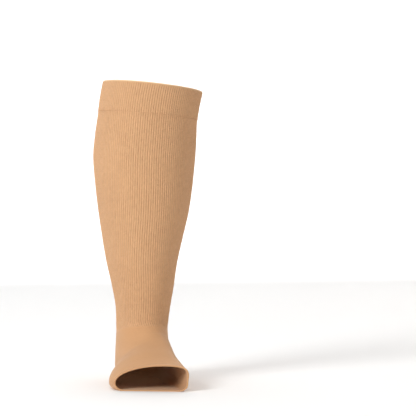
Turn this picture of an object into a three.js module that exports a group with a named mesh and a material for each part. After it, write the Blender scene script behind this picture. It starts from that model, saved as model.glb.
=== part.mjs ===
// A below-knee compression stocking for a right leg, open at the toe, as it stands when worn.
// Millimetres, +Z up, toes towards -Y, big-toe side towards +X.
// The origin is the centre of the top opening, where the leg carries the stocking.

import * as THREE from "three";
import { mergeVertices } from "three/addons/utils/BufferGeometryUtils.js";

// Sizes of the whole stocking
const TOP_HEIGHT = 384; // floor to the centre of the top opening
const TOP_RISE_FRONT = 0.068; // the top edge climbs this much for each millimetre forwards
const TOP_DROP_INSIDE = 0.12; // and falls this much for each millimetre towards the big-toe side
const TOP_TILT_REACH = 220; // the tilt of the top edge has died out this far below it

// Sizes of the pieces
const BAND_HEIGHT = 40; // the doubled band at the top
const TOE_HEM = 6; // the hem round the toe opening
const SEAM_GAP = 0.4; // pieces stop about this far apart where they are joined
const LEG_WALL = 1.4; // single ribbed knit, over the crests of its ribs
const FOOT_WALL = 1.2; // single plain knit
const BAND_WALL = 2.2; // knit turned double
const TOE_WALL = 1.8;
const BAND_PROUD = 0.4; // how far the doubled band stands out from the leg
const TOE_PROUD = 0.3;
const ANKLE_SEAM_HEIGHT = 74; // height of the front of the join between leg and foot

// Ribs of the leg and of the top band. They keep their distance from calf to ankle, so fewer and
// fewer of them fit, and they run out at the seam down the back.
const RIB_APART = 3;
const RIB_RAISED = 0.4; // from the valleys to the crests
const SEAM_ROOM = 1.2; // ribs stop this far from the seam

// Number of facets
const AROUND = 48; // round a plain face
const LEG_ROWS = 15;
const FOOT_ROWS = 22;
const BAND_ROWS = 3;
const TOE_ROWS = 2;

// Sections from the top edge to the toe opening. Each one is a ring through a front point and a
// back point, which lie over the foot and under it once the rings have turned round the instep.
// frontY, frontUp, backY, backUp: where those two points lie, with heights from the floor.
// middle, half: centre and half width, towards the big toe and away from it.
// widest: where between front and back the ring is at its widest, 0 at the front and 1 at the back.
// crest: how far the front point lies to the big-toe side of the middle.
// square: 2 is an ellipse, more is squarer. slant: degrees that the ring turns with the toe line.
const COLUMNS = [
  "frontY", "frontUp", "backY", "backUp", "middle", "half", "widest", "crest", "square", "slant",
];
const SECTIONS = [
  [-62, 384, 62, 384, 0, 64.5, 0.5, 0, 2.05, 0], // top edge
  [-63, 364, 65, 364, -4, 64.3, 0.5, 0, 2.05, 0], // top band
  [-62, 344, 69, 344, -6.5, 64.3, 0.5, 0, 2.05, 0], // foot of the top band
  [-59, 314, 75, 314, -8.5, 66, 0.52, 0, 2.05, 0], // upper calf
  [-57, 288, 78, 288, -10, 66.2, 0.53, 0, 2.05, 0], // widest calf
  [-53, 254, 76, 254, -10.3, 63.2, 0.53, 0, 2.05, 0], // calf
  [-49, 222, 71, 222, -10.8, 59, 0.53, 0, 2.05, 0], // lower calf
  [-45, 190, 65, 190, -12.2, 53, 0.53, 0, 2.05, 0], // foot of the calf
  [-40, 156, 60, 156, -13, 46.2, 0.54, 0, 2.05, 0], // shin
  [-35, 124, 56, 124, -11.7, 40.2, 0.54, 0, 2.05, 0], // lower shin
  [-31, 98, 54, 96, -11.6, 35.5, 0.54, 0, 2.05, 0], // ankle
  [-31, 82, 56, 70, -12.3, 33.8, 0.56, 0, 2.1, 0], // below the ankle
  [-35, 71, 61, 46, -12.5, 33.5, 0.58, 4, 2.1, 0], // top of the heel
  [-40, 65, 65, 24, -13, 33.5, 0.6, 9, 2.2, 0], // back of the heel
  [-46, 60.5, 58, 5, -13.5, 34, 0.62, 12, 2.3, 0], // turn of the heel
  [-54, 56, 36, -4, -14.5, 34.5, 0.64, 14, 2.4, 0], // under the heel
  [-64, 51, 2, -4, -17, 37, 0.68, 15, 2.5, 1], // arch
  [-76, 46, -34, -4, -20, 41.5, 0.7, 16, 2.5, 4], // instep
  [-90, 40, -66, -6, -20.5, 45.3, 0.67, 17, 2.5, 8], // back of the ball
  [-102, 36, -90, -6, -19.5, 46.2, 0.64, 17, 2.5, 12], // ball
  [-113, 33, -110, -4, -17.3, 44.8, 0.62, 17, 2.45, 15], // toe opening
];

const row = (values) => Object.fromEntries(COLUMNS.map((name, i) => [name, values[i]]));
const sections = SECTIONS.map(row);
const centreOf = (s) => [(s.frontY + s.backY) / 2, (s.frontUp + s.backUp) / 2];

// Distance down the leg and along the foot, from ring centre to ring centre
const stations = sections.map(() => 0);
for (let i = 1; i < sections.length; i++) {
  const [y0, up0] = centreOf(sections[i - 1]);
  const [y1, up1] = centreOf(sections[i]);
  stations[i] = stations[i - 1] + Math.hypot(y1 - y0, up1 - up0);
}
const LENGTH = stations.at(-1);

// One column's slope at a row, from the rows on both sides of it
function slopeAt(name, i) {
  const a = Math.max(i - 1, 0);
  const b = Math.min(i + 1, sections.length - 1);
  return (sections[b][name] - sections[a][name]) / (stations[b] - stations[a]);
}

// The section at any distance along the stocking, on a smooth curve through the rows
function sectionAt(distance) {
  const d = THREE.MathUtils.clamp(distance, 0, LENGTH);
  let i = 0;
  while (i < stations.length - 2 && stations[i + 1] < d) i++;
  const span = stations[i + 1] - stations[i];
  const t = (d - stations[i]) / span;
  const [h00, h10] = [(1 + 2 * t) * (1 - t) ** 2, t * (1 - t) ** 2];
  const [h01, h11] = [t * t * (3 - 2 * t), t * t * (t - 1)];
  const value = (name) =>
    h00 * sections[i][name] +
    h10 * span * slopeAt(name, i) +
    h01 * sections[i + 1][name] +
    h11 * span * slopeAt(name, i + 1);
  return Object.fromEntries(COLUMNS.map((name) => [name, value(name)]));
}

const power = (value, exponent) => Math.sign(value) * Math.abs(value) ** exponent;
const CREST_CURVE = 2; // how quickly a ring leans over as it nears the crest

// A point of the cloth's outer face: distance along the stocking, and an angle that is 0 on the
// big-toe side, a quarter turn at the back and three quarters at the front
function surfacePoint(distance, angle) {
  const s = sectionAt(distance);
  const across = power(Math.cos(angle), 2 / s.square);
  const along = power(Math.sin(angle), 2 / s.square);
  const share = s.widest + along * (along > 0 ? 1 - s.widest : s.widest);
  const lean = along < 0 ? s.crest * Math.abs(along) ** CREST_CURVE : 0;
  const x = s.middle + s.half * across + lean;
  const y =
    s.frontY +
    (s.backY - s.frontY) * share -
    Math.tan(THREE.MathUtils.degToRad(s.slant)) * (x - s.middle);
  const up = Math.max(s.frontUp + (s.backUp - s.frontUp) * share, 0);
  const fade = Math.max(0, 1 - distance / TOP_TILT_REACH);
  const tilt = fade * (-TOP_RISE_FRONT * y - TOP_DROP_INSIDE * x);
  return new THREE.Vector3(x, y, up + tilt - TOP_HEIGHT);
}

// The direction straight out of the cloth at such a point
const STEP = 0.5;
const TURN = 0.02;
function outward(distance, angle) {
  const down = Math.min(distance + STEP, LENGTH);
  const upper = Math.max(distance - STEP, 0);
  const alongCloth = surfacePoint(down, angle).sub(surfacePoint(upper, angle));
  const roundCloth = surfacePoint(distance, angle + TURN).sub(surfacePoint(distance, angle - TURN));
  return alongCloth.cross(roundCloth).normalize();
}

// The cloth's face at a given distance in or out from the outer face, never below the floor
function clothPoint(distance, angle, offset) {
  const p = surfacePoint(distance, angle).addScaledVector(outward(distance, angle), offset);
  const lowest = -TOP_HEIGHT + Math.max(-offset, 0);
  p.z = Math.max(p.z, lowest);
  return p;
}

// Even steps between two distances, both ends included
const steps = (from, to, count) =>
  Array.from({ length: count + 1 }, (_, i) => from + ((to - from) * i) / count);

// Lengths of cloth round the outer face, from the back past the outer side and the front to the
// back again, at even steps of the angle
const BACK = Math.PI / 2;
const FINE = AROUND * 10;
const angleOf = (step) => BACK + (step / FINE) * 2 * Math.PI;
function lengthsRound(distance) {
  const points = steps(0, FINE, FINE).map((step) => surfacePoint(distance, angleOf(step)));
  const lengths = [0];
  for (let k = 1; k <= FINE; k++) {
    lengths.push(lengths[k - 1] + points[k].distanceTo(points[k - 1]));
  }
  return lengths;
}

// The angle where a length from the back ends
function angleAfter(length, lengths) {
  let k = 0;
  while (k < FINE - 1 && lengths[k + 1] < length) k++;
  return angleOf(k + (length - lengths[k]) / (lengths[k + 1] - lengths[k]));
}

// A ring of the cloth with an even face, as its points and their angles
function plainRing(distance, offset) {
  const angles = steps(0, FINE, AROUND).map(angleOf);
  const points = angles.slice(0, -1).map((angle) => clothPoint(distance, angle, offset));
  return { points, angles };
}

// A ring with ribs, which are counted from the front. fromFront is each point's length from there.
function ribbedRing(distance, offset) {
  const lengths = lengthsRound(distance);
  const whole = lengths.at(-1);
  const front = lengths[FINE / 2];
  const half = RIB_APART / 2;
  const first = Math.ceil((SEAM_ROOM - front) / half);
  const last = Math.floor((whole - front - SEAM_ROOM) / half);
  const fromFront = [-front, ...steps(first * half, last * half, last - first), whole - front];
  const angles = fromFront.map((length) => angleAfter(front + length, lengths));
  const points = angles.slice(0, -1).map((angle, k) => {
    const onCrest = k > 0 && (first + k - 1) % 2 === 0;
    return clothPoint(distance, angle, onCrest ? offset : offset - RIB_RAISED);
  });
  return { points, angles, fromFront };
}

// Triangles between two rings, which may have different numbers of points
function joinRings(upper, lower, indices) {
  const scale = upper.fromFront && lower.fromFront ? "fromFront" : "angles";
  const [above, below] = [upper[scale], lower[scale]];
  const vertex = (ring, k) => ring.start + (k % ring.points.length);
  let i = 0;
  let j = 0;
  while (i < upper.points.length || j < lower.points.length) {
    const lowerDone = j === lower.points.length;
    const upperFirst = above[i] + above[i + 1] <= below[j] + below[j + 1];
    if (i < upper.points.length && (lowerDone || upperFirst)) {
      indices.push(vertex(upper, i), vertex(lower, j), vertex(upper, i + 1));
      i++;
    } else {
      indices.push(vertex(upper, i), vertex(lower, j), vertex(lower, j + 1));
      j++;
    }
  }
}

// A closed tube of cloth from a loop of rings: down the outer face and back up the inner one
function clothTube(rings) {
  const positions = [];
  const indices = [];
  rings.forEach((ring) => {
    ring.start = positions.length / 3;
    ring.points.forEach((p) => positions.push(p.x, p.y, p.z));
  });
  rings.forEach((ring, i) => joinRings(ring, rings[(i + 1) % rings.length], indices));
  const geometry = new THREE.BufferGeometry();
  geometry.setAttribute("position", new THREE.Float32BufferAttribute(positions, 3));
  geometry.setIndex(indices);
  const merged = mergeVertices(geometry, 1e-4);
  merged.computeVertexNormals();
  return merged;
}

// A wall between two distances, with plain or ribbed rings on its outer face
function wallRings(from, to, wall, proud, count, outerRing) {
  const down = steps(from, to, count);
  return [
    ...down.map((d) => outerRing(d, proud)),
    ...down.toReversed().map((d) => plainRing(d, proud - wall)),
  ];
}

// The same wall with its turned edge rounded, at the start or at the end
function turnedRings(from, to, wall, proud, count, outerRing, roundAt) {
  const round = wall / 3;
  const atStart = roundAt === "start";
  const edge = atStart ? from : to;
  const rings = wallRings(
    atStart ? from + round : from,
    atStart ? to : to - round,
    wall,
    proud,
    count,
    outerRing,
  );
  const outerLip = plainRing(edge, proud - wall * 0.3);
  const innerLip = plainRing(edge, proud - wall * 0.7);
  if (atStart) return [...rings, innerLip, outerLip];
  return [...rings.slice(0, count + 1), outerLip, innerLip, ...rings.slice(count + 1)];
}

const cloth = (color) => new THREE.MeshStandardMaterial({ color, roughness: 0.9, metalness: 0 });

function piece(name, rings, color) {
  const mesh = new THREE.Mesh(clothTube(rings), cloth(color));
  mesh.name = name;
  return mesh;
}

// Where each piece ends, as distances along the stocking
const bandEnd = BAND_HEIGHT;
const toeStart = LENGTH - TOE_HEM;
let ankleSeam = bandEnd;
while (sectionAt(ankleSeam).frontUp > ANKLE_SEAM_HEIGHT) ankleSeam += 1;

const bandRings = turnedRings(0, bandEnd, BAND_WALL, BAND_PROUD, BAND_ROWS, ribbedRing, "start");
const legRings = wallRings(bandEnd + SEAM_GAP, ankleSeam, LEG_WALL, 0, LEG_ROWS, ribbedRing);
const footRings = wallRings(ankleSeam + SEAM_GAP, toeStart, FOOT_WALL, 0, FOOT_ROWS, plainRing);
const toeRings = turnedRings(
  toeStart + SEAM_GAP,
  LENGTH,
  TOE_WALL,
  TOE_PROUD,
  TOE_ROWS,
  plainRing,
  "end",
);

const stocking = new THREE.Group();
stocking.add(
  piece("top_band", bandRings, 0xd9ab7e),
  piece("leg", legRings, 0xd4a277),
  piece("foot", footRings, 0xcf9d72),
  piece("toe_band", toeRings, 0xd9ab7e),
);

export default stocking;
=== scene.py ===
# %% [markdown]
# A below-knee compression stocking, knitted in Blender round its fixed solids.
# The solids say where the cloth lies. This file gives the cloth its ribs, seam, hems and yarn.
# Lengths are in metres. +Z is up, -Y is towards the toes, +X is the big-toe side, and the origin
# is the centre of the top opening.

# %% Load the fixed solids
import math

import bpy
import numpy as np
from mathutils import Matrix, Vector


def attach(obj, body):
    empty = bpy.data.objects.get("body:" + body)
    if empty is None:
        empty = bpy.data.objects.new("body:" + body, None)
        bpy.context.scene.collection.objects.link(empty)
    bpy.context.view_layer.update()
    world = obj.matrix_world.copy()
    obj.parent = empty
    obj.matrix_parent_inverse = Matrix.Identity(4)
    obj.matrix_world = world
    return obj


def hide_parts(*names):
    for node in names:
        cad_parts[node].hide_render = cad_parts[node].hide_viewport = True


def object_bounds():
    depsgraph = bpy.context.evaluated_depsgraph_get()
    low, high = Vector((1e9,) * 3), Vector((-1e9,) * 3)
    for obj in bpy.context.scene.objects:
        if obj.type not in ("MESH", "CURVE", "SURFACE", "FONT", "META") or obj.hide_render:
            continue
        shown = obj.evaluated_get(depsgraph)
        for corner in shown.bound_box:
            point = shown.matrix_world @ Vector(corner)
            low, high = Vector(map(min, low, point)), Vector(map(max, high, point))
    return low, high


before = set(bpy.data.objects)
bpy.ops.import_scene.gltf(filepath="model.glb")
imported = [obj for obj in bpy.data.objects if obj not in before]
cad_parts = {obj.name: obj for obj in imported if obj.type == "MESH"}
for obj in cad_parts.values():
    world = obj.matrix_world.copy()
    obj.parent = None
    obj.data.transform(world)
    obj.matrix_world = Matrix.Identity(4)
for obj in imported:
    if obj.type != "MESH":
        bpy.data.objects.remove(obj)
solid_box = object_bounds()
MM = 0.001
FLOOR = solid_box[0][2]
print("solid box", [[round(v, 4) for v in corner] for corner in solid_box])


def add_object(name, data):
    """A new object for a mesh, a lamp or a camera, put in the scene at the origin."""
    made = bpy.data.objects.new(name, data)
    bpy.context.scene.collection.objects.link(made)
    return made


# %% [markdown]
# The camera comes first, because every later choice is judged through it. It stands level with the
# upper calf, three metres away and a little to the outer side of the foot. A long lens keeps the
# leg's sides nearly parallel. It is aimed instead of shifted, so that other views stay centred.

# %% Place the camera
PHOTO_SIDE = 416  # pixels across and down
PIXEL = 1.3 * MM  # real size of one pixel at the leg
CAMERA_AWAY = 3.0
CAMERA_TURN = math.radians(-9)
OPENING_AT = (153.0, 86.7)  # pixel of the centre of the top opening
HORIZON_ROW = 118.0  # pixel row at the camera's own height
SENSOR = 36.0  # millimetres, as the lens is

right = np.array([math.cos(CAMERA_TURN), math.sin(CAMERA_TURN), 0.0])
ahead = np.array([-math.sin(CAMERA_TURN), math.cos(CAMERA_TURN), 0.0])
sideways = (PHOTO_SIDE / 2 - OPENING_AT[0]) * PIXEL
camera_up = -(HORIZON_ROW - OPENING_AT[1]) * PIXEL
aim_down = (PHOTO_SIDE / 2 - HORIZON_ROW) * PIXEL

lens = bpy.data.cameras.new("camera")
lens.sensor_width = SENSOR
lens.lens = SENSOR * CAMERA_AWAY / (PHOTO_SIDE * PIXEL)
camera = add_object("camera", lens)
camera.location = right * sideways - ahead * CAMERA_AWAY + np.array([0, 0, camera_up])
pitch = math.pi / 2 - math.atan2(aim_down, CAMERA_AWAY)
camera.rotation_euler = (pitch, 0, CAMERA_TURN)
bpy.context.scene.camera = camera
print("lens", round(lens.lens, 1), "mm, camera height", round(camera_up, 3))

# %% [markdown]
# A worn stocking has the shape of its own cut over a general leg and foot. One table of rings
# describes it, the same as the solids use: horizontal rings down the leg, which turn round the
# instep and stand upright by the toes. Each row says where a ring's front and back lie, its middle
# and half width, how far back it is widest, how far its crest is moved aside, how square it is, and
# how many degrees it slants. A smooth curve runs through the rows of each column, so a ring can be
# drawn at any distance down the cloth. A sculpted mesh could have the same form, but it couldn't
# tell the later pieces where the cloth lies.

# %% Describe the rings of the cloth
COLUMNS = (
    "front_y", "front_up", "back_y", "back_up", "middle", "half", "widest", "crest", "square",
    "slant",
)
RINGS_MM = np.array([
    (-62, 384, 62, 384, 0, 64.5, 0.5, 0, 2.05, 0),  # top edge
    (-63, 364, 65, 364, -4, 64.3, 0.5, 0, 2.05, 0),  # top band
    (-62, 344, 69, 344, -6.5, 64.3, 0.5, 0, 2.05, 0),  # foot of the top band
    (-59, 314, 75, 314, -8.5, 66, 0.52, 0, 2.05, 0),  # upper calf
    (-57, 288, 78, 288, -10, 66.2, 0.53, 0, 2.05, 0),  # widest calf
    (-53, 254, 76, 254, -10.3, 63.2, 0.53, 0, 2.05, 0),  # calf
    (-49, 222, 71, 222, -10.8, 59, 0.53, 0, 2.05, 0),  # lower calf
    (-45, 190, 65, 190, -12.2, 53, 0.53, 0, 2.05, 0),  # foot of the calf
    (-40, 156, 60, 156, -13, 46.2, 0.54, 0, 2.05, 0),  # shin
    (-35, 124, 56, 124, -11.7, 40.2, 0.54, 0, 2.05, 0),  # lower shin
    (-31, 98, 54, 96, -11.6, 35.5, 0.54, 0, 2.05, 0),  # ankle
    (-31, 82, 56, 70, -12.3, 33.8, 0.56, 0, 2.1, 0),  # below the ankle
    (-35, 71, 61, 46, -12.5, 33.5, 0.58, 4, 2.1, 0),  # top of the heel
    (-40, 65, 65, 24, -13, 33.5, 0.6, 9, 2.2, 0),  # back of the heel
    (-46, 60.5, 58, 5, -13.5, 34, 0.62, 12, 2.3, 0),  # turn of the heel
    (-54, 56, 36, -4, -14.5, 34.5, 0.64, 14, 2.4, 0),  # under the heel
    (-64, 51, 2, -4, -17, 37, 0.68, 15, 2.5, 1),  # arch
    (-76, 46, -34, -4, -20, 41.5, 0.7, 16, 2.5, 4),  # instep
    (-90, 40, -66, -6, -20.5, 45.3, 0.67, 17, 2.5, 8),  # back of the ball
    (-102, 36, -90, -6, -19.5, 46.2, 0.64, 17, 2.5, 12),  # ball
    (-113, 33, -110, -4, -17.3, 44.8, 0.62, 17, 2.45, 15),  # toe opening
])
HEEL_BACK = 13  # the row at the back of the heel
TOP_RISE_FRONT = 0.068  # the top edge climbs this much for each unit forwards
TOP_DROP_INSIDE = 0.12  # and falls this much for each unit towards the big-toe side
TOP_TILT_REACH = 220 * MM  # the tilt has died out this far down
CREST_CURVE = 2  # the crest's move grows with this power of the way up to it

centres = (RINGS_MM[:, 0:2] + RINGS_MM[:, 2:4]) / 2
gaps = np.hypot(*np.diff(centres, axis=0).T) * MM
STATIONS = np.concatenate([[0], np.cumsum(gaps)])
LENGTH = STATIONS[-1]
row_numbers = np.arange(len(STATIONS))
before = np.maximum(row_numbers - 1, 0)
after = np.minimum(row_numbers + 1, row_numbers[-1])
SLOPES = (RINGS_MM[after] - RINGS_MM[before]) / (STATIONS[after] - STATIONS[before])[:, None]


def ring_values(distance):
    """Every column at each distance down the cloth, as one dictionary of columns."""
    d = np.clip(np.asarray(distance, float), 0, LENGTH)
    i = np.clip(np.searchsorted(STATIONS, d) - 1, 0, len(STATIONS) - 2)
    span = STATIONS[i + 1] - STATIONS[i]
    t = ((d - STATIONS[i]) / span)[:, None]
    span = span[:, None]
    row = (1 + 2 * t) * (1 - t) ** 2 * RINGS_MM[i]
    row += t * (1 - t) ** 2 * span * SLOPES[i]
    row += t * t * (3 - 2 * t) * RINGS_MM[i + 1]
    row += t * t * (t - 1) * span * SLOPES[i + 1]
    return {name: row[:, k : k + 1] for k, name in enumerate(COLUMNS)}


print("cloth runs", round(LENGTH, 4), "m from the top edge to the toe edge, down its middle")

# %% [markdown]
# A ring is a squared ellipse with its widest place moved back and its crest moved aside. Points at
# even angles bunch up, and knit does not, so each ring is drawn finely once and then read by the
# length of cloth from its back. The front centre line is where that length is counted from when
# the ribs are laid.

# %% Read points of the cloth
FINE = 720  # points on a finely drawn ring
ANGLES = np.linspace(math.pi / 2, math.pi / 2 + 2 * math.pi, FINE + 1)[None, :]
FRONT = FINE // 2
CALF_DOWN = 100 * MM


def signed_power(value, exponent):
    return np.sign(value) * np.abs(value) ** exponent


def fine_rings(distance):
    """Points of whole rings, from the back round the outer side and the front to the back."""
    s = ring_values(distance)
    across = signed_power(np.cos(ANGLES), 2 / s["square"])
    along = signed_power(np.sin(ANGLES), 2 / s["square"])
    share = s["widest"] + along * np.where(along > 0, 1 - s["widest"], s["widest"])
    lean = np.where(along < 0, s["crest"] * np.abs(along) ** CREST_CURVE, 0)
    x = s["middle"] + s["half"] * across + lean
    y = s["front_y"] + (s["back_y"] - s["front_y"]) * share
    y = y - np.tan(np.radians(s["slant"])) * (x - s["middle"])
    up = np.maximum(s["front_up"] + (s["back_up"] - s["front_up"]) * share, 0)
    fade = np.clip(1 - np.asarray(distance)[:, None] / TOP_TILT_REACH, 0, 1)
    tilt = fade * (-TOP_RISE_FRONT * y - TOP_DROP_INSIDE * x)
    return np.stack([x * MM, y * MM, (up + tilt) * MM + FLOOR], axis=-1)


def ring_lengths(rings):
    """Length of cloth from the back of each ring to each of its fine points."""
    steps = np.linalg.norm(np.diff(rings, axis=1), axis=2)
    return np.concatenate([np.zeros((len(rings), 1)), np.cumsum(steps, axis=1)], axis=1)


def even_points(distance, shares):
    """Points at shares of each ring's length, which is 0 at the back and 1 there again.

    shares is one row for all rings, or a row for each of them.
    """
    rings = fine_rings(distance)
    lengths = ring_lengths(rings)
    wanted = np.broadcast_to(shares, (len(rings), np.shape(shares)[-1]))
    out = np.empty((*wanted.shape, 3))
    for i, (ring, length) in enumerate(zip(rings, lengths)):
        for axis in range(3):
            out[i, :, axis] = np.interp(wanted[i] * length[-1], length, ring[:, axis])
    return out


calf_round = ring_lengths(fine_rings([CALF_DOWN]))[0, -1]
print("round the calf", round(calf_round, 3), "m")

# %% [markdown]
# A worn stocking has four pieces: a doubled band at the top, a ribbed leg, a plainer foot and a
# narrow hem at the toes. Their sizes are named together, because each meets the next. The leg ends
# where its front comes down to a certain height above the floor.

# %% Name the sizes of the pieces
BAND_HEIGHT = 40 * MM
TOE_HEM = 6 * MM
BAND_WALL = 2.2 * MM
LEG_WALL = 1.4 * MM
FOOT_WALL = 1.2 * MM
TOE_WALL = 1.8 * MM
BAND_PROUD = 0.4 * MM
TOE_PROUD = 0.3 * MM
ANKLE_SEAM_UP = 74  # millimetres from the floor to the front of the join between leg and foot
GROUND_SUNK = 0.35 * MM  # the ground between ribs lies this far under their crests
GROUND_EASE = 4.5 * MM  # over this length it rises to the plain knit at the ankle
BAND_GROUND = BAND_PROUD - GROUND_SUNK
BAND_FOOT = 0.1 * MM - GROUND_SUNK  # the lower edge of the band eases down to here
STEP_DOWN = 3.0 * MM

ankle_search = np.arange(BAND_HEIGHT, LENGTH, 1 * MM)
above = ring_values(ankle_search)["front_up"][:, 0] > ANKLE_SEAM_UP
ANKLE_SEAM = float(ankle_search[np.argmin(above)])
TOE_START = LENGTH - TOE_HEM
print("the leg joins the foot", round(ANKLE_SEAM, 3), "m down the cloth")

# %% [markdown]
# Knit that is stretched over a bending ankle is never quite smooth. A few soft, shallow dips are
# listed one by one: across the bend of the instep, over the inner ankle, behind the ankle and on the
# arch. Each one is a row with its own place, length, width and depth. Real stockings of this
# firmness show no sharp folds, so none goes deeper than two thirds of a millimetre.

# %% Place the soft dips
DIP_COLUMNS = ("down", "round", "half_down", "half_round", "depth", "skew")
DIPS_MM = (
    (312, 0.53, 3.0, 0.12, 0.50, 3),  # across the bend of the instep
    (323, 0.47, 3.5, 0.10, 0.55, -4),  # just below it
    (334, 0.56, 3.0, 0.08, 0.45, 5),  # lower, towards the big-toe side
    (303, 0.63, 4.0, 0.06, 0.40, 6),  # inner ankle
    (318, 0.70, 5.0, 0.06, 0.60, -6),  # below the inner ankle
    (306, 0.31, 4.5, 0.07, 0.50, -5),  # outer ankle
    (322, 0.27, 4.0, 0.05, 0.55, 5),  # below the outer ankle
    (300, 0.04, 3.5, 0.09, 0.50, 3),  # behind the ankle
    (313, 0.97, 3.5, 0.08, 0.60, -3),  # above the heel
    (372, 0.66, 5.0, 0.06, 0.45, 7),  # arch
    (366, 0.40, 5.0, 0.07, 0.40, -5),  # outer side of the instep
)
DIPS = [dict(zip(DIP_COLUMNS, values)) for values in DIPS_MM]


def dips(distance, shares):
    """How far the cloth's face lies below its smooth form, from 0 to the depth of a dip."""
    d = np.reshape(distance, (-1, 1))
    total = 0
    for dip in DIPS:
        aside = (shares - dip["round"] + 0.5) % 1 - 0.5
        line = dip["down"] * MM + dip["skew"] * MM * aside / dip["half_round"]
        away = ((d - line) / (dip["half_down"] * MM)) ** 2 + (aside / dip["half_round"]) ** 2
        total = total + dip["depth"] * MM * np.exp(-away)
    return total


NUDGE = 0.5 * MM  # the way out is worked out from points this far up and down the cloth
NUDGE_SHARE = 0.002  # and this share of a ring to either side


def outward(distance, shares):
    """The direction straight out of the cloth at each point."""
    down = even_points(np.minimum(distance + NUDGE, LENGTH), shares)
    down -= even_points(np.maximum(distance - NUDGE, 0), shares)
    across = even_points(distance, (shares + NUDGE_SHARE) % 1)
    across -= even_points(distance, (shares - NUDGE_SHARE) % 1)
    normal = np.cross(down, across)
    return normal / np.linalg.norm(normal, axis=2, keepdims=True)


def cloth(distance, shares, out):
    """Points this far out from the cloth's face, never below the floor, and the ways out there."""
    points = even_points(distance, shares)
    ways = outward(distance, shares)
    out = np.broadcast_to(np.reshape(out, (-1, 1)), points.shape[:2])
    points += ways * (out - dips(distance, shares))[:, :, None]
    points[:, :, 2] = np.maximum(points[:, :, 2], FLOOR + np.maximum(-out, 0))
    return points, ways


def cloth_line(distance, share, out):
    """The same along one line down or round the cloth, with one share for each distance."""
    points, ways = cloth(distance, share[:, None], out)
    return points[:, 0], ways[:, 0]


print(len(DIPS), "soft dips, the deepest", max(dip["depth"] for dip in DIPS), "mm")

# %% [markdown]
# Each piece of cloth is a closed wall: its outer face, a rounded or plain edge, its inner face and
# the other edge. A profile lists how far down and how far out each ring of the wall lies. A Solidify
# modifier could thicken a single surface, but a profile gives each edge and hem its own form. The
# map coordinates of the wall are real lengths of cloth, so that yarn drawn by them keeps its size.

# %% Make walls of cloth
AROUND = 288
SHARES = np.linspace(0, 1, AROUND, endpoint=False)
RIB_APART = 3.0 * MM
UV_MIDDLE = 166.5 * RIB_APART  # the front centre line lies here on the map, amid a rib's stitches
SHARP_TURN = math.radians(60)  # the square ends of a wall turn by more, and keep their own shading


def new_piece(name, mesh):
    """An object at the origin for a finished mesh, riding on the stocking's one body."""
    mesh.polygons.foreach_set("use_smooth", [True] * len(mesh.polygons))
    piece = add_object(name, mesh)
    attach(piece, "root")
    return piece


def cloth_wall(name, profile, material):
    """A closed tube of cloth from a loop of (distance, out) pairs."""
    distance, out = np.array(profile).T
    points, _ = cloth(distance, SHARES, out)
    corners = []
    for i in range(len(profile)):
        following = (i + 1) % len(profile)
        for k in range(AROUND):
            corners.append(((i, k), (following, k), (following, k + 1), (i, k + 1)))
    faces = [[i * AROUND + k % AROUND for i, k in face] for face in corners]
    mesh = bpy.data.meshes.new(name)
    mesh.from_pydata(points.reshape(-1, 3).tolist(), [], faces)
    mesh.materials.append(material)
    lengths = ring_lengths(fine_rings(distance))
    ring, place = np.array(corners).reshape(-1, 2).T
    across = place / AROUND * lengths[ring, -1] - lengths[ring, FRONT]
    flat = np.stack([across + UV_MIDDLE, distance[ring]], axis=1)
    mesh.uv_layers.new(name="cloth").data.foreach_set("uv", flat.ravel().astype(np.float32))
    piece = new_piece(name, mesh)
    mesh.set_sharp_from_angle(angle=SHARP_TURN)
    return piece


def wall_profile(start, end, wall, face):
    """Down the outer face, as far out as face says at each distance, and up the plain inside."""
    down = np.linspace(start, end, round((end - start) / STEP_DOWN) + 1)
    return [(d, face(d)) for d in down] + [(d, -wall) for d in down[::-1]]


BEAD_HIGH = 0.32 * MM  # a turned edge swells out by this much
BEAD_LONG = 1.6 * MM
EASE_LONG = 2.6 * MM  # over this length a raised hem runs out into its neighbour
BEND_POINTS = 7  # points round the half-round edge
CLOSE_STEP = 0.5 * MM  # the first rings from either edge lie this close
CLOSE_RINGS = 8
ROUNDED_TO = 6  # decimals of a metre, so that two rings never lie nearly in one place
ROUNDING = MM / 1000


def turned_profile(free, sewn, wall, proud, ground):
    """A hem: its free edge is half round with a slight bead, and its sewn edge eases down."""
    radius = wall / 2
    inwards = math.copysign(1, sewn - free)
    bend_at = free + inwards * radius

    def face(d):
        bead = BEAD_HIGH * math.exp(-(((d - bend_at) / BEAD_LONG) ** 2))
        drop = (proud - ground) * math.exp(-(((d - sewn) / EASE_LONG) ** 2))
        return proud + bead - drop

    close = [bend_at + inwards * k * CLOSE_STEP for k in range(CLOSE_RINGS)]
    close += [sewn - inwards * k * CLOSE_STEP for k in range(CLOSE_RINGS)]
    coarse = np.arange(min(free, sewn) + radius, max(free, sewn) - radius, STEP_DOWN)
    low, high = sorted((bend_at, sewn))
    down = np.unique(np.round([*close, *coarse], ROUNDED_TO))
    down = down[(down > low - ROUNDING) & (down < high + ROUNDING)]
    middle = (face(bend_at) + proud - wall) / 2
    half = (face(bend_at) - proud + wall) / 2
    outer = [(d, face(d)) for d in down]
    inner = [(d, proud - wall) for d in down[::-1]]
    turn = []
    for angle in np.linspace(0, math.pi, BEND_POINTS + 2)[1:-1]:
        sunk = inwards * radius * math.sin(angle)
        turn.append((bend_at - sunk, middle - inwards * half * math.cos(angle)))
    return outer + inner + turn if inwards > 0 else outer + turn + inner


# %% [markdown]
# Every surface here is knit, so the effects are built once as node groups. The first draws the
# stitches: columns of small V shapes, worked out from real lengths on the map. The real cloth has
# far too many loops to model each one, and none shows on the outline, so they are relief and shade.

# %% Build the stitch pattern
V_LEAN = 1.4  # courses that an arm of a V leans by, for one whole column
LOOP_SWING = 0.25  # how much a loop's height swings as it passes over and under


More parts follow.
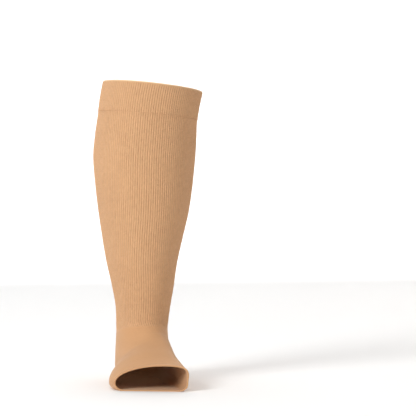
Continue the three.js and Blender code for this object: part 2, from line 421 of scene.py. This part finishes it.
def new_group(name, inputs, outputs):
    """A shader node group with named sockets, and its input and output nodes."""
    group = bpy.data.node_groups.new(name, "ShaderNodeTree")
    for label, kind, value in inputs:
        socket = group.interface.new_socket(name=label, in_out="INPUT", socket_type=kind)
        if value is not None:
            socket.default_value = value
    for label, kind in outputs:
        group.interface.new_socket(name=label, in_out="OUTPUT", socket_type=kind)
    return group, group.nodes.new("NodeGroupInput"), group.nodes.new("NodeGroupOutput")


def feed(tree, value, socket):
    """Give a socket its value: a number, or the socket that feeds it."""
    if isinstance(value, (int, float)):
        socket.default_value = value
    else:
        tree.links.new(value, socket)


def maths(tree, operation, *values):
    """The result of a math node on numbers and sockets."""
    node = tree.nodes.new("ShaderNodeMath")
    node.operation = operation
    for socket, value in zip(node.inputs, values):
        feed(tree, value, socket)
    return node.outputs[0]


stitches, given, result = new_group(
    "Knit Stitches",
    [
        ("Vector", "NodeSocketVector", None),
        ("Wale", "NodeSocketFloat", 1.0 * MM),
        ("Course", "NodeSocketFloat", 0.8 * MM),
    ],
    [("Height", "NodeSocketFloat"), ("Valley", "NodeSocketFloat")],
)
split = stitches.nodes.new("ShaderNodeSeparateXYZ")
stitches.links.new(given.outputs["Vector"], split.inputs[0])
columns = maths(stitches, "DIVIDE", split.outputs["X"], given.outputs["Wale"])
place = maths(stitches, "FRACT", columns)
arm = maths(stitches, "ABSOLUTE", maths(stitches, "SUBTRACT", place, 0.5))
round_arm = maths(stitches, "SINE", maths(stitches, "MULTIPLY", arm, 2 * math.pi))
courses = maths(stitches, "DIVIDE", split.outputs["Y"], given.outputs["Course"])
slanted = maths(stitches, "ADD", courses, maths(stitches, "MULTIPLY", arm, V_LEAN))
loop_wave = maths(stitches, "SINE", maths(stitches, "MULTIPLY", slanted, 2 * math.pi))
loop_share = maths(stitches, "MULTIPLY_ADD", loop_wave, LOOP_SWING, 1 - LOOP_SWING)
height = maths(stitches, "MULTIPLY", round_arm, loop_share)
stitches.links.new(height, result.inputs["Height"])
stitches.links.new(maths(stitches, "SUBTRACT", 1.0, height), result.inputs["Valley"])
print("Knit Stitches has", len(stitches.nodes), "nodes")

# %% [markdown]
# The second group gives the yarn its uneven tone: broad patches that a hand could cover, and fine
# light and dark strokes, a little longer down the cloth than across. Towards the valleys between
# stitches it darkens the colour to a deep one, which is painted shade. It also mixes in a second
# colour where the cloth comes near an edge; at the top rim that colour is partly a painted highlight.

# %% Build the yarn's tone
PATCHES_PER_METRE = 22
PATCH_DETAIL = 3
PATCH_SHARE = 0.5  # patches count this much beside strokes
STROKES_PER_METRE = (240, 170, 1)  # across the cloth, down it, and not at all through it
STROKE_DETAIL = 1
STROKE_BEND = 0.8
TONE_SWING = 4.0


def noise(tree, vector, scale, detail, bend=0.0):
    """A noise pattern that swings about one half."""
    node = tree.nodes.new("ShaderNodeTexNoise")
    node.inputs["Scale"].default_value = scale
    node.inputs["Detail"].default_value = detail
    node.inputs["Distortion"].default_value = bend
    tree.links.new(vector, node.inputs["Vector"])
    return node.outputs[0]


def colour_mix(tree, share, first, second):
    """A colour between two, at a share from 0 to 1."""
    blend = tree.nodes.new("ShaderNodeMix")
    blend.data_type = "RGBA"
    tree.links.new(share, blend.inputs["Factor"])
    colour_a = next(s for s in blend.inputs if s.name == "A" and s.type == "RGBA")
    colour_b = next(s for s in blend.inputs if s.name == "B" and s.type == "RGBA")
    tree.links.new(first, colour_a)
    tree.links.new(second, colour_b)
    return next(s for s in blend.outputs if s.type == "RGBA")


yarn, given, result = new_group(
    "Yarn Tone",
    [
        ("Vector", "NodeSocketVector", None),
        ("On Cloth", "NodeSocketVector", None),
        ("Colour", "NodeSocketColor", (0.6, 0.36, 0.2, 1)),
        ("Deep", "NodeSocketColor", (0.4, 0.22, 0.11, 1)),
        ("Edge Colour", "NodeSocketColor", (0.8, 0.52, 0.31, 1)),
        ("Valley", "NodeSocketFloat", 0.0),
        ("Uneven", "NodeSocketFloat", 0.1),
        ("Edge", "NodeSocketFloat", 0.0),
    ],
    [("Colour", "NodeSocketColor"), ("Fleck", "NodeSocketFloat")],
)
patches = noise(yarn, given.outputs["Vector"], PATCHES_PER_METRE, PATCH_DETAIL)
stretch = yarn.nodes.new("ShaderNodeVectorMath")
stretch.operation = "MULTIPLY"
stretch.inputs[1].default_value = STROKES_PER_METRE
yarn.links.new(given.outputs["On Cloth"], stretch.inputs[0])
strokes = noise(yarn, stretch.outputs[0], 1, STROKE_DETAIL, STROKE_BEND)
patch_part = maths(yarn, "MULTIPLY", maths(yarn, "SUBTRACT", patches, 0.5), PATCH_SHARE)
stroke_part = maths(yarn, "SUBTRACT", strokes, 0.5)
both = maths(yarn, "MULTIPLY", maths(yarn, "ADD", patch_part, stroke_part), TONE_SWING)
swing = maths(yarn, "MULTIPLY", both, given.outputs["Uneven"])
depth = maths(yarn, "ADD", given.outputs["Valley"], swing)
depth = maths(yarn, "MAXIMUM", maths(yarn, "MINIMUM", depth, 1.0), 0.0)
shaded = colour_mix(yarn, depth, given.outputs["Colour"], given.outputs["Deep"])
edged = colour_mix(yarn, given.outputs["Edge"], shaded, given.outputs["Edge Colour"])
yarn.links.new(edged, result.inputs["Colour"])
yarn.links.new(strokes, result.inputs["Fleck"])
print("Yarn Tone has", len(yarn.nodes), "nodes")

# %% [markdown]
# One warm beige yarn makes the whole stocking, so the finishes share one material recipe and differ
# in stitch size, relief and depth of painted shade. The sheen is the haze of fine hairs that lights
# the outline. The raised ribs carry the pale face of the yarn, and the wall under them is painted
# deeper, as painted shade for the ground between ribs, which lies in their shade. Uneven loops catch
# the light, so the flecks of tone also raise the bump. At the ankle the ribbed finish turns into the
# plain one, and at the top edge into the pale rim of the turned fold, which is partly paler stretched
# yarn and partly a painted highlight where the rounded fold catches the light.

# %% Mix the knit finishes
PLAIN_YARN = (0.612, 0.338, 0.168, 1)
# painted shade: the ground between ribs is darker than the ridges because it lies in their shade
GROUND_YARN_IN_SHADE = (0.575, 0.328, 0.172, 1)
RIDGE_YARN = (0.660, 0.385, 0.204, 1)
# the deep colour is both the yarn's darker random tone and painted shade in the valleys between
# stitches
DEEP_YARN_AND_SHADE = (0.360, 0.190, 0.090, 1)
# pale rim colour: partly paler stretched yarn, partly a painted highlight where the fold catches light
RIM_YARN_AND_HIGHLIGHT = (0.880, 0.640, 0.420, 1)
SHARED_LOOK = {
    "Roughness": 0.82,
    "Specular IOR Level": 0.25,
    "Sheen Weight": 0.4,
    "Sheen Roughness": 0.4,
    "Sheen Tint": (1.0, 0.84, 0.70, 1),
}


def place_on_cloth(tree, attribute):
    """Where a point lies on the cloth, from an attribute, or else from the wall's own map."""
    if attribute:
        where = tree.nodes.new("ShaderNodeAttribute")
        where.attribute_name = attribute
        return where.outputs["Vector"]
    where = tree.nodes.new("ShaderNodeUVMap")
    where.uv_map = "cloth"
    return where.outputs["UV"]


def nearness(tree, on_cloth, place, width):
    """1 at a place down the cloth, falling to 0 a width away from it."""
    split = tree.nodes.new("ShaderNodeSeparateXYZ")
    tree.links.new(on_cloth, split.inputs[0])
    away = maths(tree, "ABSOLUTE", maths(tree, "SUBTRACT", split.outputs["Y"], place))
    near = maths(tree, "SUBTRACT", 1.0, maths(tree, "DIVIDE", away, width))
    return maths(tree, "MAXIMUM", near, 0.0)


def knit_material(name, colour, wale, course, relief, lumps, uneven, shade, attribute, edge):
    """A knit finish. A wale is a column of stitches and a course a row of them. relief is how high
    the stitches stand, lumps how much uneven loops add to that, uneven how much the tone varies, and
    shade how deep the valleys between stitches look.

    edge is a place down the cloth, a width and a colour: towards that place, over that width, the
    finish turns into the other colour.
    """
    material = bpy.data.materials.new(name)
    material.use_nodes = True
    tree = material.node_tree
    shader = tree.nodes["Principled BSDF"]
    for label, value in SHARED_LOOK.items():
        shader.inputs[label].default_value = value
    on_cloth = place_on_cloth(tree, attribute)
    knit = tree.nodes.new("ShaderNodeGroup")
    knit.node_tree = stitches
    knit.inputs["Wale"].default_value = wale
    knit.inputs["Course"].default_value = course
    tree.links.new(on_cloth, knit.inputs["Vector"])
    tone = tree.nodes.new("ShaderNodeGroup")
    tone.node_tree = yarn
    tone.inputs["Colour"].default_value = colour
    tone.inputs["Deep"].default_value = DEEP_YARN_AND_SHADE
    tone.inputs["Uneven"].default_value = uneven
    tree.links.new(tree.nodes.new("ShaderNodeTexCoord").outputs["Object"], tone.inputs["Vector"])
    tree.links.new(on_cloth, tone.inputs["On Cloth"])
    tree.links.new(maths(tree, "MULTIPLY", knit.outputs["Valley"], shade), tone.inputs["Valley"])
    if edge:
        place, width, tone.inputs["Edge Colour"].default_value = edge
        tree.links.new(nearness(tree, on_cloth, place, width), tone.inputs["Edge"])
    tree.links.new(tone.outputs["Colour"], shader.inputs["Base Color"])
    bump = tree.nodes.new("ShaderNodeBump")
    bump.inputs["Distance"].default_value = relief
    bump.inputs["Strength"].default_value = 1.0
    fleck = maths(tree, "MULTIPLY", tone.outputs["Fleck"], lumps)
    tree.links.new(maths(tree, "ADD", knit.outputs["Height"], fleck), bump.inputs["Height"])
    tree.links.new(bump.outputs["Normal"], shader.inputs["Normal"])
    return material


FINISH_COLUMNS = (
    "colour", "wale", "course", "relief", "lumps", "uneven", "shade", "attribute", "edge",
)
RIB_COURSE = 2.1 * MM
AT = "cloth_at"  # pieces that a tree makes keep their place on the cloth in this attribute
TO_PLAIN = (ANKLE_SEAM, GROUND_EASE, PLAIN_YARN)
# the band's top edge turns to the pale rim colour, which is partly a painted highlight
TO_RIM_HIGHLIGHT = (0.0, 2.8 * MM, RIM_YARN_AND_HIGHLIGHT)
GROUND = (GROUND_YARN_IN_SHADE, RIB_APART, RIB_COURSE, 0.15 * MM, 3.4, 0.12, 0.22, None)
FINISHES = {
    "knit_between_ribs": (*GROUND, TO_PLAIN),
    "knit_of_foot": (PLAIN_YARN, 1.3 * MM, 1.0 * MM, 0.10 * MM, 0.5, 0.05, 0.25, None, None),
    "knit_of_band": (*GROUND, TO_RIM_HIGHLIGHT),
    "knit_of_toe_hem": (PLAIN_YARN, 1.3 * MM, 1.0 * MM, 0.10 * MM, 0.5, 0.05, 0.20, None, None),
    "knit_of_ribs": (RIDGE_YARN, RIB_APART, RIB_COURSE, 0.25 * MM, 3.0, 0.14, 0.20, AT, TO_PLAIN),
    "knit_of_seam": (PLAIN_YARN, 0.9 * MM, 0.9 * MM, 0.10 * MM, 0.5, 0.10, 0.30, AT, None),
    "sewing_thread": (RIDGE_YARN, 0.8 * MM, 0.8 * MM, 0.05 * MM, 0.5, 0.10, 0.15, AT, None),
}
KNITS = {}
for name, values in FINISHES.items():
    KNITS[name] = knit_material(name, **dict(zip(FINISH_COLUMNS, values)))
print("finishes:", list(KNITS))

# %% [markdown]
# The leg is one length of flat ribbed knit. Its wall is a thin shell on its solid's form, and the
# doubled top band, the foot and the toe hem are shells of the same kind. The band and the hem
# stand a little proud, which draws the faint line at their edges.

# %% Make the four walls
def leg_face(d):
    """The ground between ribs rises to the plain knit's level where the ribs end."""
    return -GROUND_SUNK * min(1.0, (ANKLE_SEAM - d) / GROUND_EASE)


def foot_face(d):
    """The plain knit of the foot lies on the cloth's own form."""
    return 0.0


leg_profile = wall_profile(BAND_HEIGHT, ANKLE_SEAM, LEG_WALL, leg_face)
foot_profile = wall_profile(ANKLE_SEAM, TOE_START, FOOT_WALL, foot_face)
band_profile = turned_profile(0, BAND_HEIGHT, BAND_WALL, BAND_GROUND, BAND_FOOT)
toe_profile = turned_profile(LENGTH, TOE_START, TOE_WALL, TOE_PROUD, 0)
leg = cloth_wall("leg_knit", leg_profile, KNITS["knit_between_ribs"])
foot = cloth_wall("foot_knit", foot_profile, KNITS["knit_of_foot"])
top_band = cloth_wall("top_band_knit", band_profile, KNITS["knit_of_band"])
toe_band = cloth_wall("toe_band_knit", toe_profile, KNITS["knit_of_toe_hem"])
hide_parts("leg")
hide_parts("foot")
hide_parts("top_band")
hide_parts("toe_band")
for wall in (leg, foot, top_band, toe_band):
    print(wall.name, len(wall.data.polygons), "faces")

# %% [markdown]
# The ribs are as far apart at the ankle as at the calf, although the leg narrows by almost half.
# So this is flat knit: it is shaped by dropping ribs at a seam down the back. A bump could draw
# ribs, but it would neither show on the outline nor be in the exported mesh, so they are shapes.
# Guide lines are laid from the front centre outwards, one rib apart, and each stops where it runs
# into the seam. No knit is pulled evenly, so ribs swell and slim a little in slanting waves. At the
# ankle they die away into the plain knit, each over a length of its own.

# %% Lay the guide lines of the ribs
SEAM_ROOM = 2.2 * MM  # ribs stop this far from the back seam
RIB_STEP = 3 * MM  # guide points lie about this far apart
RIB_TAPER = 7 * MM  # length over which a rib dies away at the seam
LEAST_RUN = 4  # guide points that a rib must have
END_SIZE = 0.1  # of a rib's full size is left at its very end
FADE_LONGEST = 6.75 * MM  # length over which a rib dies away at the ankle, at the most
FADE_SPREAD = 3.15 * MM  # some ribs fade over a length shorter by up to this
FADE_ORDER = 2.4  # radians from one rib to the next, which keeps neighbours unlike
WAVE_COLUMNS = ("long", "turn", "share")
WAVES = (
    (9.3 * MM, 0.31, 0.13),
    (14.7 * MM, -0.21, 0.09),
)


def swell(rib, distance):
    """How much fuller a rib is than usual. Tension varies in slanting waves across flat knit."""
    total = np.zeros(len(distance))
    for values in WAVES:
        wave = dict(zip(WAVE_COLUMNS, values))
        total += wave["share"] * np.sin(2 * math.pi * (distance / wave["long"] + wave["turn"] * rib))
    return total


def rib_sizes(rib, down, run, fades):
    """The size of a rib along one run of guide points, 1 being its full size."""
    d = down[run]
    fade = FADE_LONGEST - FADE_SPREAD * math.sin(FADE_ORDER * rib) ** 2
    size = (down[-1] - d) / fade if fades else np.ones(len(d))
    if run[0] > 0:
        size = np.minimum(size, (d - d[0]) / RIB_TAPER)
    if run[-1] < len(down) - 1:
        size = np.minimum(size, (d[-1] - d) / RIB_TAPER)
    return np.clip(END_SIZE + size, 0, 1) * (1 + swell(rib, d))


def guide_object(name, points, edges, ways, places, sizes):
    """Guide lines as a mesh of edges, with the attributes that the trees read."""
    mesh = bpy.data.meshes.new(name)
    mesh.from_pydata(points.tolist(), edges, [])
    for label, values in (("cloth_normal", ways), ("cloth_at", places)):
        layer = mesh.attributes.new(label, "FLOAT_VECTOR", "POINT")
        layer.data.foreach_set("vector", values.astype(np.float32).ravel())
    layer = mesh.attributes.new("rib_size", "FLOAT", "POINT")
    layer.data.foreach_set("value", np.array(sizes, np.float32))
    print(name, len(points), "guide points")
    return add_object(name, mesh)


def rib_guides(name, start, end, out, fades):
    """Guide lines along every rib between two distances down the cloth."""
    down = np.linspace(start, end, round((end - start) / RIB_STEP) + 1)
    lengths = ring_lengths(fine_rings(down))
    whole = lengths[:, -1]
    most = int(whole.max() / 2 / RIB_APART) + 1
    points, ways, places, sizes, edges = [], [], [], [], []
    first = 0
    for rib in range(-most, most + 1):
        at = lengths[:, FRONT] + rib * RIB_APART
        keep = np.flatnonzero((at > SEAM_ROOM) & (at < whole - SEAM_ROOM))
        for run in np.split(keep, np.flatnonzero(np.diff(keep) > 1) + 1):
            if len(run) < LEAST_RUN:
                continue
            spots, out_there = cloth_line(down[run], at[run] / whole[run], out)
            points.append(spots)
            ways.append(out_there)
            places += [(rib * RIB_APART + UV_MIDDLE, d, 0) for d in down[run]]
            sizes += rib_sizes(rib, down, run, fades).tolist()
            edges += [(k, k + 1) for k in range(first, first + len(run) - 1)]
            first += len(run)
    joined = np.concatenate(points), edges, np.concatenate(ways), np.array(places), sizes
    return guide_object(name, *joined)


# %% [markdown]
# Geometry Nodes suit what follows a path. A first tree sweeps one flat half-round section along all
# the guide lines at once, and keeps each point's place on the cloth for the yarn. Its result is
# turned into a plain mesh, which is what the other pieces are.

# %% Build the tree that sweeps a rib along each guide
def nodes_tree(name, inputs):
    """A Geometry Nodes tree with named inputs, and its input and output nodes."""
    tree = bpy.data.node_groups.new(name, "GeometryNodeTree")
    tree.interface.new_socket(name="Geometry", in_out="INPUT", socket_type="NodeSocketGeometry")
    for label, kind in inputs:
        tree.interface.new_socket(name=label, in_out="INPUT", socket_type=kind)
    tree.interface.new_socket(name="Geometry", in_out="OUTPUT", socket_type="NodeSocketGeometry")
    return tree, tree.nodes.new("NodeGroupInput"), tree.nodes.new("NodeGroupOutput")


def named(tree, label, kind):
    """The socket that reads a named attribute."""
    node = tree.nodes.new("GeometryNodeInputNamedAttribute")
    node.data_type = kind
    node.inputs["Name"].default_value = label
    return node.outputs["Attribute"]


def stored(tree, geometry, label, value):
    """Geometry that keeps a vector at each point under a name."""
    node = tree.nodes.new("GeometryNodeStoreNamedAttribute")
    node.data_type = "FLOAT_VECTOR"
    node.domain = "POINT"
    node.inputs["Name"].default_value = label
    tree.links.new(geometry, node.inputs["Geometry"])
    tree.links.new(value, node.inputs["Value"])
    return node.outputs["Geometry"]


def vector(tree, x=0.0, y=0.0, z=0.0):
    """A vector of numbers and sockets."""
    node = tree.nodes.new("ShaderNodeCombineXYZ")
    for socket, value in zip(node.inputs, (x, y, z)):
        feed(tree, value, socket)
    return node.outputs[0]


def curve_on_cloth(tree, lines):
    """Guide lines as curves that know which way is out of the cloth."""
    to_curve = tree.nodes.new("GeometryNodeMeshToCurve")
    tree.links.new(lines, to_curve.inputs["Mesh"])
    stand = tree.nodes.new("GeometryNodeSetCurveNormal")
    stand.mode = "FREE"
    tree.links.new(to_curve.outputs["Curve"], stand.inputs["Curve"])
    tree.links.new(named(tree, "cloth_normal", "FLOAT_VECTOR"), stand.inputs["Normal"])
    return stand.outputs["Curve"]


def end_tree(tree, geometry, material, result):
    """The end of every tree: make instances real, and give them their finish."""
    real = tree.nodes.new("GeometryNodeRealizeInstances")
    paint = tree.nodes.new("GeometryNodeSetMaterial")
    tree.links.new(geometry, real.inputs["Geometry"])
    tree.links.new(real.outputs["Geometry"], paint.inputs["Geometry"])
    tree.links.new(material, paint.inputs["Material"])
    tree.links.new(paint.outputs["Geometry"], result.inputs["Geometry"])
    print(tree.name, "has", len(tree.nodes), "nodes")


rib_tree, given, result = nodes_tree(
    "Rib Sweep",
    [
        ("Half Width", "NodeSocketFloat"),
        ("Half Depth", "NodeSocketFloat"),
        ("Sides", "NodeSocketInt"),
        ("Material", "NodeSocketMaterial"),
    ],
)
make = rib_tree.nodes.new
join = rib_tree.links.new
half_width = given.outputs["Half Width"]
section = make("GeometryNodeCurvePrimitiveCircle")
section.inputs["Radius"].default_value = 1.0  # the half width and half depth then scale it
join(given.outputs["Sides"], section.inputs["Resolution"])
position = make("GeometryNodeInputPosition").outputs["Position"]
circle = stored(rib_tree, section.outputs["Curve"], "section_at", position)
flatten = make("GeometryNodeTransform")
join(circle, flatten.inputs["Geometry"])
join(vector(rib_tree, given.outputs["Half Depth"], half_width, 1.0), flatten.inputs["Scale"])
sweep = make("GeometryNodeCurveToMesh")
sweep.inputs["Fill Caps"].default_value = True
join(curve_on_cloth(rib_tree, given.outputs["Geometry"]), sweep.inputs["Curve"])
join(flatten.outputs["Geometry"], sweep.inputs["Profile Curve"])
join(named(rib_tree, "rib_size", "FLOAT"), sweep.inputs["Scale"])
across = make("ShaderNodeSeparateXYZ")
join(named(rib_tree, "section_at", "FLOAT_VECTOR"), across.inputs[0])
placed = make("ShaderNodeVectorMath")
join(named(rib_tree, "cloth_at", "FLOAT_VECTOR"), placed.inputs[0])
aside = maths(rib_tree, "MULTIPLY", across.outputs["Y"], half_width)
join(vector(rib_tree, aside), placed.inputs[1])
swept = stored(rib_tree, sweep.outputs["Mesh"], "cloth_at", placed.outputs[0])
end_tree(rib_tree, swept, given.outputs["Material"], result)


def made_by_tree(name, guide, tree, values):
    """The plain mesh that a tree makes from a guide. The guide and its modifier are removed."""
    modifier = guide.modifiers.new("make", "NODES")
    modifier.node_group = tree
    for item in tree.interface.items_tree:
        if item.item_type == "SOCKET" and item.in_out == "INPUT" and item.name in values:
            modifier[item.identifier] = values[item.name]
    bpy.context.view_layer.update()
    seen = guide.evaluated_get(bpy.context.evaluated_depsgraph_get())
    mesh = bpy.data.meshes.new_from_object(seen)
    mesh.name = name
    bpy.data.objects.remove(guide)
    print(name, sum(len(face.vertices) - 2 for face in mesh.polygons), "triangles")
    return new_piece(name, mesh)


# %% Knit the ribs of the leg and of the top band
RIB = {
    "Half Width": 1.05 * MM,
    "Half Depth": 0.42 * MM,
    "Sides": 6,
    "Material": KNITS["knit_of_ribs"],
}
LEG_RIBS_START = BAND_HEIGHT - 0.5 * MM  # just under the edge of the band
BAND_RIBS_START = 2.0 * MM
BAND_RIBS_END = BAND_HEIGHT - 1.2 * MM

leg_guide = rib_guides("leg_guide", LEG_RIBS_START, ANKLE_SEAM, -GROUND_SUNK, True)
leg_ribs = made_by_tree("leg_ribs", leg_guide, rib_tree, RIB)
band_guide = rib_guides("band_guide", BAND_RIBS_START, BAND_RIBS_END, BAND_GROUND, False)
band_ribs = made_by_tree("band_ribs", band_guide, rib_tree, RIB)

# %% [markdown]
# The leg and the band are closed down the back by a flat seam, where the dropped ribs run out. It
# is a low ridge with whipped thread over it. Rows of fine stitches also hold the top band and the
# toe hem down. One Geometry Nodes tree lays a short rounded stitch at even steps along any guide
# line, so the whipped thread and the rows differ in their sizes alone.

# %% Build the tree that lays stitches along a line
sew_tree, given, result = nodes_tree(
    "Stitch Row",
    [
        ("Apart", "NodeSocketFloat"),
        ("Long", "NodeSocketFloat"),
        ("Thick", "NodeSocketFloat"),
        ("Slant", "NodeSocketFloat"),
        ("Material", "NodeSocketMaterial"),
    ],
)
STITCH_SIDES = 6
STITCH_RINGS = 5
make = sew_tree.nodes.new
join = sew_tree.links.new
thick = given.outputs["Thick"]
spaced = make("GeometryNodeCurveToPoints")
spaced.mode = "LENGTH"
join(curve_on_cloth(sew_tree, given.outputs["Geometry"]), spaced.inputs["Curve"])
join(given.outputs["Apart"], spaced.inputs["Length"])
stitch = make("GeometryNodeMeshUVSphere")
stitch.inputs["Segments"].default_value = STITCH_SIDES
stitch.inputs["Rings"].default_value = STITCH_RINGS
stitch.inputs["Radius"].default_value = 0.5  # one across, so that real sizes then scale it
stretched = make("GeometryNodeTransform")
join(stitch.outputs["Mesh"], stretched.inputs["Geometry"])
join(vector(sew_tree, thick, thick, given.outputs["Long"]), stretched.inputs["Scale"])
leaned = make("GeometryNodeTransform")
join(stretched.outputs["Geometry"], leaned.inputs["Geometry"])
join(vector(sew_tree, given.outputs["Slant"]), leaned.inputs["Rotation"])
lay = make("GeometryNodeInstanceOnPoints")
join(spaced.outputs["Points"], lay.inputs["Points"])
join(leaned.outputs["Geometry"], lay.inputs["Instance"])
join(spaced.outputs["Rotation"], lay.inputs["Rotation"])
end_tree(sew_tree, lay.outputs["Instances"], given.outputs["Material"], result)

# %% Sew the seams
SEAM_END = STATIONS[HEEL_BACK]
SEAM_STEP = 3 * MM
SEAM_SUNK = 0.15 * MM  # the leg's ridge is set this far into the cloth
SEAM_END_SIZE = 0.3  # and starts and ends at this part of its full size
THREAD_LIFT = 0.37 * MM  # whipped thread lies this far above the ridge's middle
BAND_SEAM_IN = 2 * MM  # the band's seam stops this far from both edges of the band
BAND_SEAM_POINTS = 13
BAND_SEAM_END_SIZE = 0.5
BAND_ROW = BAND_HEIGHT - 0.6 * MM
BAND_ROW_OUT = -0.05 * MM  # under the crests of the ribs, on the eased edge of the band
TOE_ROW = TOE_START + 0.3 * MM
TOE_ROW_OUT = 0.05 * MM
ROW_POINTS = 240
ROUND = np.linspace(0, 1, ROW_POINTS, endpoint=False)
THREAD = KNITS["sewing_thread"]
SEW = {"Apart": 2.6 * MM, "Long": 2.1 * MM, "Thick": 0.45 * MM, "Slant": 0.0, "Material": THREAD}
WHIP = {"Apart": 1.7 * MM, "Long": 2.6 * MM, "Thick": 0.42 * MM, "Slant": 1.0, "Material": THREAD}
RIDGE = {
    "Half Width": 1.3 * MM,
    "Half Depth": 0.45 * MM,
    "Sides": 8,
    "Material": KNITS["knit_of_seam"],
}


def line_guide(name, distance, share, out, closed, sizes):
    """One guide line over the cloth."""
    spots, ways = cloth_line(distance, share, out)
    edges = [(k, k + 1) for k in range(len(spots) - 1)]
    if closed:
        edges.append((len(spots) - 1, 0))
    places = np.stack([share, distance, np.zeros(len(spots))], axis=1)
    return guide_object(name, spots, edges, ways, places, sizes)


def sewn_seam(name, down, out, end_size, whipped):
    """A low ridge down the back, and whipped thread over its first points."""
    at_back = np.zeros(len(down))
    from_end = np.minimum(down - down[0], down[-1] - down)
    sizes = np.clip(from_end / RIB_TAPER + end_size, 0, 1)
    guide = line_guide(name + "_guide", down, at_back, out, False, sizes)
    ridge = made_by_tree(name, guide, rib_tree, RIDGE)
    down, at_back, sizes = down[:whipped], at_back[:whipped], sizes[:whipped]
    guide = line_guide(name + "_thread_guide", down, at_back, out + THREAD_LIFT, False, sizes)
    return ridge, made_by_tree(name + "_thread", guide, sew_tree, WHIP)


def sewn_row(name, down, out):
    """A row of stitches round the whole tube."""
    distance = np.full(ROW_POINTS, down)
    guide = line_guide(name + "_guide", distance, ROUND, out, True, np.ones(ROW_POINTS))
    return made_by_tree(name, guide, sew_tree, SEW)


leg_down = np.arange(BAND_HEIGHT, SEAM_END, SEAM_STEP)
whipped = len(leg_down) - 2  # the thread ends before the ridge has run out
seam_pair = sewn_seam("back_seam", leg_down, -SEAM_SUNK, SEAM_END_SIZE, whipped)
band_down = np.linspace(BAND_SEAM_IN, BAND_HEIGHT - BAND_SEAM_IN, BAND_SEAM_POINTS)
whipped = len(band_down)
band_pair = sewn_seam(
    "band_seam", band_down, BAND_GROUND, BAND_SEAM_END_SIZE, whipped,
)
band_sewing = sewn_row("band_sewing", BAND_ROW, BAND_ROW_OUT)
toe_sewing = sewn_row("toe_sewing", TOE_ROW, TOE_ROW_OUT)

# %% [markdown]
# A studio floor that curves up into a backdrop leaves hardly a line behind the stocking. One large
# soft light, slightly cool, stands to the left and in front, so the cloth darkens towards its right
# side. Weak warm ones fill from the right and from behind, a broad one hangs above, and one washes
# the backdrop white. Each light is a row that says where it stands and what it is aimed at.

# %% Set the stage and the lights
STAGE_HALF = 6.0  # half its width, and how far it comes forward
STAGE_BACK = 2.5  # the floor starts to curve up here
STAGE_CURVE = 1.2  # radius of that curve
STAGE_TOP = 4.0
STAGE_BENDS = 12
PALE = (0.95, 0.95, 0.95, 1)
FLOOR_ROUGHNESS = 0.9

stage_line = [(-STAGE_HALF, FLOOR)]
for turn in np.linspace(0, math.pi / 2, STAGE_BENDS + 1):
    back = STAGE_BACK + STAGE_CURVE * math.sin(turn)
    stage_line.append((back, FLOOR + STAGE_CURVE * (1 - math.cos(turn))))
stage_line.append((STAGE_BACK + STAGE_CURVE, STAGE_TOP))
stage_points = [(x, y, z) for y, z in stage_line for x in (-STAGE_HALF, STAGE_HALF)]
stage_faces = [(2 * i, 2 * i + 1, 2 * i + 3, 2 * i + 2) for i in range(len(stage_line) - 1)]
stage_mesh = bpy.data.meshes.new("studio_floor")
stage_mesh.from_pydata(stage_points, [], stage_faces)
stage_mesh.polygons.foreach_set("use_smooth", [True] * len(stage_mesh.polygons))
floor_paint = bpy.data.materials.new("studio_floor")
floor_paint.use_nodes = True
floor_shader = floor_paint.node_tree.nodes["Principled BSDF"]
floor_shader.inputs["Base Color"].default_value = PALE
floor_shader.inputs["Roughness"].default_value = FLOOR_ROUGHNESS
stage_mesh.materials.append(floor_paint)
add_object("studio_floor", stage_mesh)

WHITE = (1.0, 1.0, 1.0)
COOL = (0.98, 1.0, 1.0)
WARM = (1.0, 0.84, 0.70)
LEG_MIDDLE = (0, 0, FLOOR / 2)
BACKDROP = (0.6, 2.4, 1.7763)
LIGHT_COLUMNS = ("name", "at", "side", "watts", "colour", "aim")
LIGHTS = (
    ("key", (-2.4, -2.0, 1.3), 1.3, 85, COOL, LEG_MIDDLE),
    ("fill", (1.8, -2.6, 0.6), 1.2, 12, WARM, LEG_MIDDLE),
    ("rim", (2.3, 1.1, 0.4), 0.5, 9, WARM, LEG_MIDDLE),
    ("above", (0.0, 0.6, 2.6), 2.5, 33, WHITE, LEG_MIDDLE),
    ("backdrop_wash", (0.6, 1.4, 1.6), 3.0, 90, WHITE, BACKDROP),
)
for values in LIGHTS:
    light = dict(zip(LIGHT_COLUMNS, values))
    lamp = bpy.data.lights.new(light["name"], "AREA")
    lamp.size = light["side"]
    lamp.energy = light["watts"]
    lamp.color = light["colour"]
    holder = add_object(light["name"], lamp)
    holder.location = light["at"]
    towards = Vector(light["aim"]) - Vector(light["at"])
    holder.rotation_euler = towards.to_track_quat("-Z", "Y").to_euler()

SURROUNDINGS = 0.32
world = bpy.data.worlds.new("studio")
world.use_nodes = True
background = world.node_tree.nodes["Background"]
background.inputs["Color"].default_value = (*WHITE, 1)
background.inputs["Strength"].default_value = SURROUNDINGS
bpy.context.scene.world = world
bpy.context.scene.view_settings.view_transform = "Standard"
print("lights:", [lamp.name for lamp in bpy.data.lights])

# %% [markdown]
# The last cell prints the flat size that the leg, the foot and the top band were made to before they
# were pulled on.
# The worn cloth is stretched by about a quarter round the leg and a little along it.

# %% State the cloth's flat size
STRETCH_ROUND = 1.25
STRETCH_DOWN = 1.05
MEASURED_RINGS = 60


def state_cloth(piece, start, end):
    """Say the flat, unstretched size of what shows, all round the tube."""
    rings = fine_rings(np.linspace(start, end, MEASURED_RINGS))
    whole = ring_lengths(rings)[:, -1]
    along = np.linalg.norm(np.diff(rings, axis=0), axis=2).mean(axis=1)
    area = float((along * (whole[1:] + whole[:-1]) / 2).sum())
    width = float(whole.max()) / STRETCH_ROUND
    length = float(along.sum()) / STRETCH_DOWN
    area = min(area / STRETCH_ROUND / STRETCH_DOWN, width * length)
    print(piece.name, "flat", round(width, 3), "by", round(length, 3), "m, area", round(area, 4), "m2")


state_cloth(leg, BAND_HEIGHT, ANKLE_SEAM)
state_cloth(foot, ANKLE_SEAM, TOE_START)
state_cloth(top_band, 0, BAND_HEIGHT)
